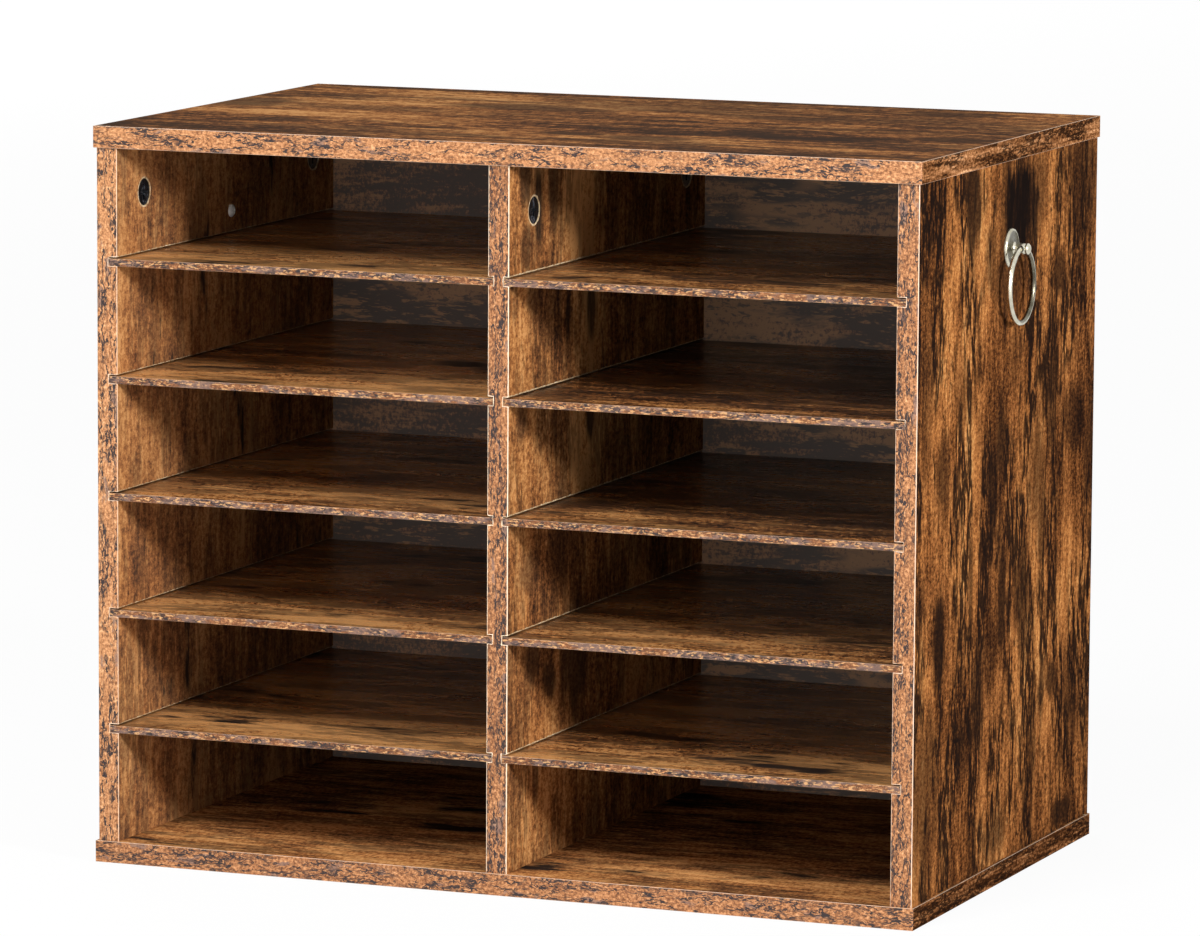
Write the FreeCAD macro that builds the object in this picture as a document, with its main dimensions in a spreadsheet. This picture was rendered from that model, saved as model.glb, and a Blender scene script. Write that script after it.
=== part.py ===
import FreeCAD, Part
import math
import os

import Sketcher

# Literature organizer with two columns of pigeonholes, in millimetres.
# X is the width, Y the depth with the open front at -Y, Z is up.
# The origin is the middle of the footprint, on the surface that the organizer stands on.

SIZES = {
    # Outside of the cabinet
    "overall_width": 480,
    "overall_depth": 300,
    "overall_height": 409,
    "end_overhang": 1.5,
    "front_setback": 1.5,
    # Boards
    "top_thickness": 12,
    "bottom_thickness": 12,
    "side_thickness": 12,
    "divider_thickness": 12,
    "band_thickness": 0.5,
    "band_bevel": 0.25,
    # Shelves and the grooves that they slide in
    "bays_per_column": 6,
    "shelf_thickness": 4,
    "shelf_band_thickness": 0.4,
    "shelf_band_bevel": 0.2,
    "groove_height": 5,
    "side_groove_depth": 5.2,
    "divider_groove_depth": 3.2,
    "shelf_end_clearance": 0.3,
    "shelf_rear_clearance": 0.3,
    # Back panel and the slot that holds it
    "back_thickness": 2.7,
    "back_play": 0.15,
    "back_slot_depth": 4,
    "back_edge_clearance": 0.3,
    "back_lip": 5,
    # Cam locks, their bolts and the dowels, between the top and the uprights
    "fixing_inset": 36.5,
    "fixing_depth": 6,
    "cam_bore_diameter": 15,
    "cam_bore_depth": 9.6,
    "cam_recess": 0.3,
    "cam_play": 0.1,
    "cam_drop": 27,
    "cam_cross_length": 8.4,
    "cam_cross_width": 1.8,
    "cam_cross_depth": 1.4,
    "bolt_thread_diameter": 5,
    "bolt_thread_length": 9,
    "bolt_shank_diameter": 6,
    "bolt_neck_diameter": 3.6,
    "bolt_neck_length": 7,
    "bolt_head_diameter": 6.4,
    "bolt_play": 0.2,
    "dowel_diameter": 6,
    "dowel_length": 24,
    "dowel_in_top": 8,
    "dowel_offset": 32,
    "dowel_bevel": 0.6,
    "thread_play": 0.05,
    "bore_end_clearance": 0.3,
    # Countersunk screws through the bottom board
    "screw_diameter": 4,
    "screw_length": 36,
    "screw_head_diameter": 8,
    "screw_head_recess": 0.2,
    "screw_tip_length": 4,
    # Ring pulls
    "pull_drop": 48,
    "plate_diameter": 22,
    "plate_edge": 0.5,
    "plate_height": 1.9,
    "plate_rim_width": 1.6,
    "plate_rim_radius": 1.5,
    "plate_step": 0.4,
    "plate_dish_radius": 6,
    "plate_boss_diameter": 8,
    "post_foot_diameter": 5.2,
    "post_shoulder_diameter": 7.2,
    "post_shoulder_height": 0.6,
    "post_cove_radius": 1.6,
    "post_play": 0.05,
    "eye_offset": 6.7,
    "eye_half_length": 2.3,
    "eye_wall": 1.2,
    "button_length": 2.8,
    "button_side_radius": 1.1,
    "button_crown_height": 0.9,
    "button_crown_radius": 4.2,
    "ring_radius": 20.2,
    "ring_wire_diameter": 3.1,
    "ring_play": 0.2,
    "pull_hole_play": 0.2,
    "pull_screw_diameter": 3.5,
    "pull_screw_reach": 3.9,
    "pull_screw_head_diameter": 7.4,
    "pull_screw_head_height": 2.4,
    "pull_screw_head_edge": 0.6,
    "pull_screw_cross_length": 3.8,
    "pull_screw_cross_width": 0.9,
    "pull_screw_cross_depth": 1.3,
}

doc = FreeCAD.newDocument("LiteratureOrganizer")
sheet = doc.addObject("Spreadsheet::Sheet", "Sizes")
for row, (alias, value) in enumerate(SIZES.items(), start=1):
    sheet.set(f"A{row}", alias)
    sheet.set(f"B{row}", str(value))
    sheet.setAlias(f"B{row}", alias)
doc.recompute()

# Planes and distances that several pieces share, as expressions on the sheet
FRONT = "(-Sizes.overall_depth / 2)"
REAR = "(Sizes.overall_depth / 2)"
HALF_WIDTH = "(Sizes.overall_width / 2)"
TOP_UNDERSIDE = "(Sizes.overall_height - Sizes.top_thickness)"
INNER_HEIGHT = f"({TOP_UNDERSIDE} - Sizes.bottom_thickness)"
SIDE_OUTER = f"({HALF_WIDTH} - Sizes.end_overhang)"
SIDE_INNER = f"({SIDE_OUTER} - Sizes.side_thickness)"
DIVIDER_HALF = "(Sizes.divider_thickness / 2)"
UPRIGHT_FRONT = f"({FRONT} + Sizes.front_setback)"
UPRIGHT_CORE_FRONT = f"({UPRIGHT_FRONT} + Sizes.band_thickness)"
BAY_PITCH = f"(({INNER_HEIGHT} + Sizes.shelf_thickness) / Sizes.bays_per_column)"

SLOT_REAR = f"({REAR} - Sizes.back_lip)"
SLOT_FRONT = f"({SLOT_REAR} - Sizes.back_thickness - 2 * Sizes.back_play)"
BACK_FACE = f"({SLOT_FRONT} + Sizes.back_play)"

FIXING_Y = f"({REAR} - Sizes.fixing_inset)"
DOWEL_Y = f"({FIXING_Y} - Sizes.dowel_offset)"
SIDE_FIXING_X = f"({SIDE_INNER} + Sizes.fixing_depth)"
DIVIDER_FIXING_X = f"({DIVIDER_HALF} - Sizes.fixing_depth)"
BOLT_HOLE_RADIUS = "(Sizes.bolt_thread_diameter / 2 + Sizes.thread_play)"
BOLT_WAY_RADIUS = "(Sizes.bolt_head_diameter / 2 + Sizes.bolt_play)"
DOWEL_HOLE_RADIUS = "(Sizes.dowel_diameter / 2 + Sizes.thread_play)"
SCREW_HOLE_RADIUS = "(Sizes.screw_diameter / 2 + Sizes.thread_play)"

PULL_HEIGHT = f"({INNER_HEIGHT} - Sizes.pull_drop)"
WIRE_RADIUS = "(Sizes.ring_wire_diameter / 2)"

shelf_rows = int(SIZES["bays_per_column"]) - 1
depth_axis = FreeCAD.Vector(0, 1, 0)
pieces = []

# Points nearer than this are one point, and a cut takes away more than this volume.
TOUCH = 1e-4
LEAST_CUT = 0.01

# A sketch's numbers for the points of an edge.
START, END, CENTRE = range(1, 4)


def measure(expression):
    """The length that an expression gives with the sheet's present sizes."""
    return float(sheet.evalExpression(expression))


def negative(expression):
    return f"(-{expression})"


def new_body(label):
    """A body that is one piece of the organizer, and is written to a file under its label."""
    body = doc.addObject("PartDesign::Body", label)
    body.Label = label
    pieces.append(body)
    return body


def facing(hand):
    """The turn about Z that makes a piece's own X point to the right, for 1, or the left, for -1."""
    return 0 if hand > 0 else 180


def place(piece, x="0", y="0", z="0", turn=0, axis=FreeCAD.Vector(0, 0, 1)):
    """Turn a piece about its own origin and tie its place to the sheet."""
    piece.Placement = FreeCAD.Placement(
        FreeCAD.Vector(measure(x), measure(y), measure(z)), FreeCAD.Rotation(axis, turn)
    )
    for direction, expression in zip("xyz", (x, y, z)):
        if "Sizes" in expression:
            piece.setExpression(f"Placement.Base.{direction}", expression)


def new_sketch(body, name, role, level="0"):
    """An empty sketch on one of the body's own planes, or parallel to it at a level."""
    sketch = body.newObject("Sketcher::SketchObject", name)
    plane = next(part for part in body.Origin.OriginFeatures if part.Role == role)
    sketch.AttachmentSupport = [(plane, "")]
    sketch.MapMode = "FlatFace"
    sketch.AttachmentOffset = FreeCAD.Placement(
        FreeCAD.Vector(0, 0, measure(level)), FreeCAD.Rotation()
    )
    if "Sizes" in level:
        sketch.setExpression("AttachmentOffset.Base.z", level)
    return sketch


def drive(sketch, constraint, expression):
    """Add a driving dimension and tie it to the sheet."""
    index = sketch.addConstraint(constraint)
    if "Sizes" in expression:
        sketch.setExpression(f"Constraints[{index}]", expression)


def arc_between(start, end, radius):
    """Arc from start to end. A positive radius turns left on the way, a negative one right."""
    chord = end - start
    rise = math.sqrt(radius * radius - chord.Length ** 2 / 4)
    left = FreeCAD.Vector(-chord.y, chord.x, 0).normalize()
    centre = (start + end) * 0.5 + left * math.copysign(rise, radius)
    circle = Part.Circle(centre, FreeCAD.Vector(0, 0, 1), abs(radius))
    first, last = (start, end) if radius > 0 else (end, start)
    angles = [math.atan2(p.y - centre.y, p.x - centre.x) for p in (first, last)]
    return Part.ArcOfCircle(circle, *angles)


def outline(body, name, role, corners, level="0"):
    """
    Closed outline through corners, each given by two expressions. A third one on a corner is the
    radius of the arc that leads to the next corner, with its sign as in arc_between.
    """
    sketch = new_sketch(body, name, role, level)
    points = [FreeCAD.Vector(measure(c[0]), measure(c[1]), 0) for c in corners]
    count = len(corners)
    starts = []
    for side, corner in enumerate(corners):
        start, end = points[side], points[(side + 1) % count]
        if len(corner) == 3:
            radius = measure(corner[2])
            sketch.addGeometry(arc_between(start, end, radius), False)
            starts.append(START if radius > 0 else END)
        else:
            sketch.addGeometry(Part.LineSegment(start, end), False)
            starts.append(START)
    for side in range(count):
        last = END if starts[side] == START else START
        following = (side + 1) % count
        sketch.addConstraint(
            Sketcher.Constraint("Coincident", side, last, following, starts[following])
        )
    for side, corner in enumerate(corners):
        for kind, expression, value in (
            ("DistanceX", corner[0], points[side].x),
            ("DistanceY", corner[1], points[side].y),
        ):
            constraint = Sketcher.Constraint(kind, -1, START, side, starts[side], value)
            drive(sketch, constraint, expression)
        if len(corner) == 3:
            radius = f"abs({corner[2]})"
            drive(sketch, Sketcher.Constraint("Radius", side, measure(radius)), radius)
    return sketch


def rectangle(body, name, role, low, high, level="0"):
    corners = [(low[0], low[1]), (high[0], low[1]), (high[0], high[1]), (low[0], high[1])]
    return outline(body, name, role, corners, level)


def circles(body, name, role, centres, radius, level="0"):
    """Equal circles, each centre given by two expressions."""
    sketch = new_sketch(body, name, role, level)
    normal = FreeCAD.Vector(0, 0, 1)
    for index, (across, along) in enumerate(centres):
        centre = FreeCAD.Vector(measure(across), measure(along), 0)
        sketch.addGeometry(Part.Circle(centre, normal, measure(radius)), False)
        for kind, expression, value in (
            ("DistanceX", across, centre.x),
            ("DistanceY", along, centre.y),
        ):
            drive(sketch, Sketcher.Constraint(kind, -1, START, index, CENTRE, value), expression)
        drive(sketch, Sketcher.Constraint("Radius", index, measure(radius)), radius)
    return sketch


def cross(body, name, role, length, width, level):
    """A driver's cross: two slots of equal length at right angles."""
    reach, half = f"({length} / 2)", f"({width} / 2)"
    back, low = negative(reach), negative(half)
    corners = [
        (reach, low), (reach, half), (half, half), (half, reach), (low, reach), (low, half),
        (back, half), (back, low), (low, low), (low, back), (half, back), (half, low),
    ]
    return outline(body, name, role, corners, level)


def pad(body, sketch, length, forwards=True):
    """Thicken a sketch along its plane's normal, or against it."""
    feature = body.newObject("PartDesign::Pad", f"{sketch.Label}Pad")
    feature.Profile = sketch
    feature.Length = measure(length)
    feature.setExpression("Length", length)
    feature.Reversed = not forwards
    return feature


def pocket(body, sketch, depth, forwards):
    """Cut a sketch away along its plane's normal, or against it, and see that it removed something."""
    doc.recompute()
    volume = body.Shape.Volume
    feature = body.newObject("PartDesign::Pocket", f"{sketch.Label}Cut")
    feature.Profile = sketch
    feature.Length = measure(depth)
    feature.setExpression("Length", depth)
    feature.Reversed = forwards
    doc.recompute()
    if body.Shape.Volume > volume - LEAST_CUT:
        raise RuntimeError(f"{body.Label}: {sketch.Label} removes nothing")
    return feature


def turn(body, sketch):
    """Turn a profile about the sketch's horizontal axis."""
    feature = body.newObject("PartDesign::Revolution", f"{sketch.Label}Turned")
    feature.Profile = sketch
    feature.ReferenceAxis = (sketch, ["H_Axis"])
    feature.Angle = 360
    return feature


def repeat_up(body, features, sketch, step, count):
    """Repeat cuts upwards at an even step."""
    pattern = body.newObject("PartDesign::LinearPattern", f"{features[0].Label}Row")
    pattern.Originals = features
    pattern.Direction = (sketch, ["V_Axis"])
    pattern.Occurrences = count
    pattern.Length = measure(step) * (count - 1)
    pattern.setExpression("Length", f"{step} * (Sizes.bays_per_column - 2)")
    body.Tip = pattern


def bevel(body, feature, size, chosen):
    """Bevel the edges of a feature whose ends and middle all pass the test."""
    doc.recompute()
    names = []
    for number, edge in enumerate(feature.Shape.Edges, start=1):
        middle = edge.valueAt((edge.FirstParameter + edge.LastParameter) / 2)
        if all(chosen(point) for point in [vertex.Point for vertex in edge.Vertexes] + [middle]):
            names.append(f"Edge{number}")
    chamfer = body.newObject("PartDesign::Chamfer", f"{feature.Label}Bevel")
    chamfer.Base = (feature, names)
    chamfer.Size = measure(size)
    chamfer.setExpression("Size", size)


def at(value, target):
    return abs(value - target) < TOUCH


# Top and bottom boards: a core with a band glued round all four edges. The slot for the back
# panel runs the whole length of the core, and the end bands close it.

CORE_X = f"({HALF_WIDTH} - Sizes.band_thickness)"
CORE_Y = f"({REAR} - Sizes.band_thickness)"


def cover_board(label, thickness):
    """Core of the top or the bottom board, with its underside at the body's own Z = 0."""
    body = new_body(label)
    corner = (CORE_X, CORE_Y)
    core = rectangle(body, "Core", "XY_Plane", (negative(CORE_X), negative(CORE_Y)), corner)
    pad(body, core, thickness)
    return body


def upright_places(y):
    """Places over the middle line of each upright, both towards the front and the rear."""
    across = (negative(SIDE_FIXING_X), DIVIDER_FIXING_X, SIDE_FIXING_X)
    return [(x, side) for x in across for side in (negative(y), y)]


def back_slot(body, level, forwards):
    low, high = (negative(CORE_X), SLOT_FRONT), (CORE_X, SLOT_REAR)
    slot = rectangle(body, "BackSlot", "XY_Plane", low, high, level)
    pocket(body, slot, "Sizes.back_slot_depth", forwards)


def cover_bands(label, thickness, z):
    """Front and rear bands over the board's whole width, and end bands between them."""
    middle = measure(thickness) / 2
    for side, sign in (("front", -1), ("rear", 1)):
        body = new_body(f"{label}_{side}_band")
        low, high = (negative(HALF_WIDTH), "0"), (HALF_WIDTH, thickness)
        sketch = rectangle(body, "Band", "XZ_Plane", low, high)
        strip = pad(body, sketch, "Sizes.band_thickness", sign < 0)
        face = sign * SIZES["band_thickness"]
        bevel(body, strip, "Sizes.band_bevel", lambda p: at(p.y, face))
        place(body, "0", CORE_Y if sign > 0 else negative(CORE_Y), z)
    for side, sign in (("left", -1), ("right", 1)):
        body = new_body(f"{label}_{side}_band")
        low, high = (negative(CORE_Y), "0"), (CORE_Y, thickness)
        sketch = rectangle(body, "Band", "YZ_Plane", low, high)
        strip = pad(body, sketch, "Sizes.band_thickness", sign > 0)
        face = sign * SIZES["band_thickness"]
        bevel(body, strip, "Sizes.band_bevel", lambda p: at(p.x, face) and not at(p.z, middle))
        place(body, CORE_X if sign > 0 else negative(CORE_X), "0", z)


top = cover_board("top_panel", "Sizes.top_thickness")
back_slot(top, "0", True)
bolt_holes = circles(top, "BoltHoles", "XY_Plane", upright_places(FIXING_Y), BOLT_HOLE_RADIUS)
pocket(top, bolt_holes, "Sizes.bolt_thread_length + Sizes.bore_end_clearance", True)
dowel_holes = circles(top, "DowelHoles", "XY_Plane", upright_places(DOWEL_Y), DOWEL_HOLE_RADIUS)
pocket(top, dowel_holes, "Sizes.dowel_in_top + Sizes.bore_end_clearance", True)
place(top, z=TOP_UNDERSIDE)
cover_bands("top_panel", "Sizes.top_thickness", TOP_UNDERSIDE)

bottom = cover_board("bottom_panel", "Sizes.bottom_thickness")
back_slot(bottom, "Sizes.bottom_thickness", False)
screw_holes = circles(bottom, "ScrewHoles", "XY_Plane", upright_places(FIXING_Y), SCREW_HOLE_RADIUS)
drilled = pocket(bottom, screw_holes, "Sizes.bottom_thickness", True)
bevel(
    bottom,
    drilled,
    "Sizes.screw_head_diameter / 2 - Sizes.screw_diameter / 2 + Sizes.screw_head_recess",
    lambda p: at(p.z, 0) and not at(abs(p.x), measure(CORE_X)) and not at(abs(p.y), measure(CORE_Y)),
)
cover_bands("bottom_panel", "Sizes.bottom_thickness", "0")


# Uprights: two side panels and the centre divider, between the bottom and the top board. The
# shelves' grooves run right through from the front edge to the rear one, so that their mouths
# show in the front bands.

LOWEST_SHELF = f"({BAY_PITCH} - Sizes.shelf_thickness)"
LOWEST_GROOVE_TOP = f"({LOWEST_SHELF} + Sizes.groove_height)"
CAM_HEIGHT = f"({INNER_HEIGHT} - Sizes.cam_drop)"


def groove_row(body, cuts, direction):
    """Repeat the lowest grooves up to the highest shelf."""
    repeat_up(body, cuts, direction, BAY_PITCH, shelf_rows)


def fixings(body, x):
    """Bores in an upright's ends for its bolts, dowels and screws."""
    places = [(x, side) for side in (negative(FIXING_Y), FIXING_Y)]
    bolt_way = circles(body, "BoltWays", "XY_Plane", places, BOLT_WAY_RADIUS, INNER_HEIGHT)
    pocket(body, bolt_way, f"Sizes.cam_drop + {BOLT_WAY_RADIUS}", False)
    pilots = circles(body, "ScrewPilots", "XY_Plane", places, SCREW_HOLE_RADIUS)
    reach = "Sizes.screw_length - Sizes.bottom_thickness + Sizes.bore_end_clearance"
    pocket(body, pilots, reach, True)
    places = [(x, side) for side in (negative(DOWEL_Y), DOWEL_Y)]
    dowels = circles(body, "DowelHoles", "XY_Plane", places, DOWEL_HOLE_RADIUS, INNER_HEIGHT)
    pocket(body, dowels, "Sizes.dowel_length - Sizes.dowel_in_top", False)


def cam_bores(body, level, forwards):
    places = [(negative(FIXING_Y), CAM_HEIGHT), (FIXING_Y, CAM_HEIGHT)]
    radius = "Sizes.cam_bore_diameter / 2"
    sketch = circles(body, "CamBores", "YZ_Plane", places, radius, level)
    pocket(body, sketch, "Sizes.cam_bore_depth", forwards)


def side_panel(label, hand):
    """A side panel, with its inner face at the body's own X = 0. hand is 1 right, -1 left."""
    outwards = hand > 0
    body = new_body(label)
    low, high = (UPRIGHT_CORE_FRONT, "0"), (REAR, INNER_HEIGHT)
    pad(body, rectangle(body, "Core", "YZ_Plane", low, high), "Sizes.side_thickness", outwards)
    low, high = (SLOT_FRONT, "0"), (SLOT_REAR, INNER_HEIGHT)
    pocket(body, rectangle(body, "BackSlot", "YZ_Plane", low, high), "Sizes.back_slot_depth", outwards)
    cam_bores(body, "0", outwards)
    fixings(body, "Sizes.fixing_depth" if outwards else "(-Sizes.fixing_depth)")
    radius = "Sizes.pull_screw_diameter / 2 + Sizes.pull_hole_play"
    hole = circles(body, "PullHole", "YZ_Plane", [("0", PULL_HEIGHT)], radius)
    pocket(body, hole, "Sizes.side_thickness", outwards)
    low, high = (UPRIGHT_CORE_FRONT, LOWEST_SHELF), (REAR, LOWEST_GROOVE_TOP)
    groove = rectangle(body, "Groove", "YZ_Plane", low, high)
    groove_row(body, [pocket(body, groove, "Sizes.side_groove_depth", outwards)], groove)
    place(body, SIDE_INNER if outwards else negative(SIDE_INNER), "0", "Sizes.bottom_thickness")


def side_band(label, hand):
    """Front band of a side panel, notched where the grooves come out."""
    body = new_body(label)
    sign = "" if hand > 0 else "-"
    low, high = ("0", "0"), (f"({sign}Sizes.side_thickness)", INNER_HEIGHT)
    strip = pad(body, rectangle(body, "Band", "XZ_Plane", low, high), "Sizes.band_thickness")
    face = -SIZES["band_thickness"]
    middle = hand * SIZES["side_thickness"] / 2
    bevel(body, strip, "Sizes.band_bevel", lambda p: at(p.y, face) and not at(p.x, middle))
    high = (f"({sign}Sizes.side_groove_depth)", LOWEST_GROOVE_TOP)
    notch = rectangle(body, "Notch", "XZ_Plane", ("0", LOWEST_SHELF), high)
    groove_row(body, [pocket(body, notch, "Sizes.band_thickness", True)], notch)
    x = SIDE_INNER if hand > 0 else negative(SIDE_INNER)
    place(body, x, UPRIGHT_CORE_FRONT, "Sizes.bottom_thickness")


for side, hand in (("left", -1), ("right", 1)):
    side_panel(f"{side}_side_panel", hand)
    side_band(f"{side}_side_front_band", hand)

divider = new_body("centre_divider")
low, high = (UPRIGHT_CORE_FRONT, "0"), (SLOT_FRONT, INNER_HEIGHT)
core = rectangle(divider, "Core", "YZ_Plane", low, high, negative(DIVIDER_HALF))
pad(divider, core, "Sizes.divider_thickness")
cam_bores(divider, DIVIDER_HALF, False)
fixings(divider, DIVIDER_FIXING_X)
low, high = (UPRIGHT_CORE_FRONT, LOWEST_SHELF), (SLOT_FRONT, LOWEST_GROOVE_TOP)
left_groove = rectangle(divider, "LeftGroove", "YZ_Plane", low, high, negative(DIVIDER_HALF))
right_groove = rectangle(divider, "RightGroove", "YZ_Plane", low, high, DIVIDER_HALF)
divider_cuts = [
    pocket(divider, left_groove, "Sizes.divider_groove_depth", True),
    pocket(divider, right_groove, "Sizes.divider_groove_depth", False),
]
groove_row(divider, divider_cuts, left_groove)
place(divider, z="Sizes.bottom_thickness")

band = new_body("centre_divider_front_band")
low, high = (negative(DIVIDER_HALF), "0"), (DIVIDER_HALF, INNER_HEIGHT)
strip = pad(band, rectangle(band, "Band", "XZ_Plane", low, high), "Sizes.band_thickness")
band_face = -SIZES["band_thickness"]
bevel(band, strip, "Sizes.band_bevel", lambda p: at(p.y, band_face) and not at(p.x, 0))
web = f"({DIVIDER_HALF} - Sizes.divider_groove_depth)"
low, high = (negative(DIVIDER_HALF), LOWEST_SHELF), (negative(web), LOWEST_GROOVE_TOP)
left_notch = rectangle(band, "LeftNotch", "XZ_Plane", low, high)
low, high = (web, LOWEST_SHELF), (DIVIDER_HALF, LOWEST_GROOVE_TOP)
right_notch = rectangle(band, "RightNotch", "XZ_Plane", low, high)
band_cuts = [
    pocket(band, left_notch, "Sizes.band_thickness", True),
    pocket(band, right_notch, "Sizes.band_thickness", True),
]
groove_row(band, band_cuts, left_notch)
place(band, "0", UPRIGHT_CORE_FRONT, "Sizes.bottom_thickness")


# Back panel: thin hardboard, held in the slots of the four outer boards.

back = new_body("back_panel")
margin = "(Sizes.back_slot_depth - Sizes.back_edge_clearance)"
back_half = f"({SIDE_INNER} + {margin})"
low, high = (negative(back_half), negative(margin)), (back_half, f"({INNER_HEIGHT} + {margin})")
pad(back, rectangle(back, "Sheet", "XZ_Plane", low, high), "Sizes.back_thickness", False)
place(back, "0", BACK_FACE, "Sizes.bottom_thickness")


# Shelves: thin boards with a band on the front edge, lying on the lower walls of their grooves.
# Both columns have the same shelf. They are numbered from the top.

SHELF_OUTER = f"({SIDE_INNER} + Sizes.side_groove_depth - Sizes.shelf_end_clearance)"
SHELF_INNER = f"({DIVIDER_HALF} - Sizes.divider_groove_depth + Sizes.shelf_end_clearance)"
SHELF_WIDTH = f"({SHELF_OUTER} - {SHELF_INNER})"
SHELF_FRONT = f"({UPRIGHT_FRONT} + Sizes.shelf_band_thickness)"
SHELF_DEPTH = f"({BACK_FACE} - Sizes.shelf_rear_clearance - {SHELF_FRONT})"


def shelf(label, x, z):
    board = new_body(label)
    core = rectangle(board, "Core", "XY_Plane", ("0", "0"), (SHELF_WIDTH, SHELF_DEPTH))
    pad(board, core, "Sizes.shelf_thickness")
    place(board, x, SHELF_FRONT, z)
    edge = new_body(f"{label}_front_band")
    sketch = rectangle(edge, "Band", "XZ_Plane", ("0", "0"), (SHELF_WIDTH, "Sizes.shelf_thickness"))
    strip = pad(edge, sketch, "Sizes.shelf_band_thickness")
    face = -SIZES["shelf_band_thickness"]
    middle = SIZES["shelf_thickness"] / 2
    bevel(edge, strip, "Sizes.shelf_band_bevel", lambda p: at(p.y, face) and not at(p.z, middle))
    place(edge, x, SHELF_FRONT, z)


for column, x in (("left", negative(SHELF_OUTER)), ("right", SHELF_INNER)):
    for number in range(1, shelf_rows + 1):
        shelf(f"{column}_shelf_{number}", x, f"({TOP_UNDERSIDE} - {number} * {BAY_PITCH})")


# Fasteners that are all alike are one pattern piece each, and a group of links to it.


def group(label, pattern, places):
    """One solid of the pattern at each place, given by X, Y, Z and a turn about Z."""
    links = []
    for number, (x, y, z, turned) in enumerate(places, start=1):
        link = doc.addObject("App::Link", f"{label}_{number}")
        link.LinkedObject = pattern
        place(link, x, y, z, turned)
        links.append(link)
    compound = doc.addObject("Part::Compound", label)
    compound.Label = label
    compound.Links = links
    pieces.append(compound)


def pattern_body(name):
    return doc.addObject("PartDesign::Body", name)


# Cam lock: a drum that fills its bore, with a driver's cross in the face and a way cut up to its
# axis for the bolt's head. Its own X points into the board.

cam = pattern_body("CamLock")
drum_radius = "(Sizes.cam_bore_diameter / 2 - Sizes.cam_play)"
drum = circles(cam, "Drum", "YZ_Plane", [("0", "0")], drum_radius, "Sizes.cam_recess")
pad(cam, drum, "Sizes.cam_bore_depth - Sizes.cam_recess")
way_low = (negative(BOLT_WAY_RADIUS), negative(BOLT_WAY_RADIUS))
way_high = (BOLT_WAY_RADIUS, "Sizes.cam_bore_diameter / 2")
way_start = f"Sizes.fixing_depth - {BOLT_WAY_RADIUS}"
way = rectangle(cam, "BoltWay", "YZ_Plane", way_low, way_high, way_start)
pocket(cam, way, f"Sizes.cam_bore_depth - ({way_start})", True)
cam_cross = cross(
    cam, "Cross", "YZ_Plane", "Sizes.cam_cross_length", "Sizes.cam_cross_width", "Sizes.cam_recess"
)
pocket(cam, cam_cross, "Sizes.cam_cross_depth", True)

cam_z = f"({TOP_UNDERSIDE} - Sizes.cam_drop)"
for label, x, hand in (
    ("left_side_cam_locks", negative(SIDE_INNER), -1),
    ("centre_divider_cam_locks", DIVIDER_HALF, -1),
    ("right_side_cam_locks", SIDE_INNER, 1),
):
    group(label, cam, [(x, y, cam_z, facing(hand)) for y in (negative(FIXING_Y), FIXING_Y)])

# Cam bolt: thread in the top board, shank, and a neck and double-coned head that the cam lock
# grips. It is turned about its own X, which points up, and X = 0 is the top board's underside.

bolt = pattern_body("CamBolt")
thread, shank = "Sizes.bolt_thread_diameter / 2", "Sizes.bolt_shank_diameter / 2"
neck, head = "Sizes.bolt_neck_diameter / 2", "Sizes.bolt_head_diameter / 2"
shank_end = "Sizes.bolt_neck_length - Sizes.cam_drop"
bolt_profile = outline(
    bolt,
    "Profile",
    "XZ_Plane",
    [
        (f"-Sizes.cam_drop - {head}", "0"),
        (f"-Sizes.cam_drop - {head}", neck),
        ("-Sizes.cam_drop", head),
        (f"{head} - Sizes.cam_drop", neck),
        (shank_end, neck),
        (shank_end, shank),
        ("0", shank),
        ("0", thread),
        ("Sizes.bolt_thread_length", thread),
        ("Sizes.bolt_thread_length", "0"),
    ],
)
turn(bolt, bolt_profile)


def standing_group(label, pattern, places, z):
    """A group of pieces whose own X stands upright."""
    group(label, pattern, [(x, y, z, 0) for x, y in places])
    for link in pieces[-1].Links:
        link.Placement = FreeCAD.Placement(link.Placement.Base, FreeCAD.Rotation(depth_axis, -90))


standing_group("cam_bolts", bolt, upright_places(FIXING_Y), TOP_UNDERSIDE)

# Wooden dowel with bevelled ends, half in the top board and half in the upright.

dowel = pattern_body("Dowel")
dowel_radius = "Sizes.dowel_diameter / 2"
dowel_low = "Sizes.dowel_in_top - Sizes.dowel_length"
dowel_section = circles(dowel, "Section", "YZ_Plane", [("0", "0")], dowel_radius, dowel_low)
rod = pad(dowel, dowel_section, "Sizes.dowel_length")
dowel_ends = [measure(dowel_low), measure("Sizes.dowel_in_top")]
bevel(dowel, rod, "Sizes.dowel_bevel", lambda p: any(at(p.x, end) for end in dowel_ends))
standing_group("wooden_dowels", dowel, upright_places(DOWEL_Y), TOP_UNDERSIDE)

# Countersunk screw, sunk a little below the bottom board's underside.

screw = pattern_body("CountersunkScrew")
screw_radius, screw_head = "Sizes.screw_diameter / 2", "Sizes.screw_head_diameter / 2"
head_end = f"Sizes.screw_head_recess + {screw_head} - {screw_radius}"
screw_profile = outline(
    screw,
    "Profile",
    "XZ_Plane",
    [
        ("Sizes.screw_head_recess", "0"),
        ("Sizes.screw_head_recess", screw_head),
        (head_end, screw_radius),
        ("Sizes.screw_length - Sizes.screw_tip_length", screw_radius),
        ("Sizes.screw_length", "0"),
    ],
)
turn(screw, screw_profile)
standing_group("bottom_screws", screw, upright_places(FIXING_Y), "0")


# Ring pulls. Each piece is turned about its own X, which points out of the panel, and X = 0 is
# the panel's outer face. The post stands in the back plate, the screw from inside the cabinet
# draws both to the panel, and the ring hangs in the bored eye of the post. The ring's curve takes
# it off the bore's axis by the sag, in every direction as it swings, so the bore is that much wider.

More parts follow.
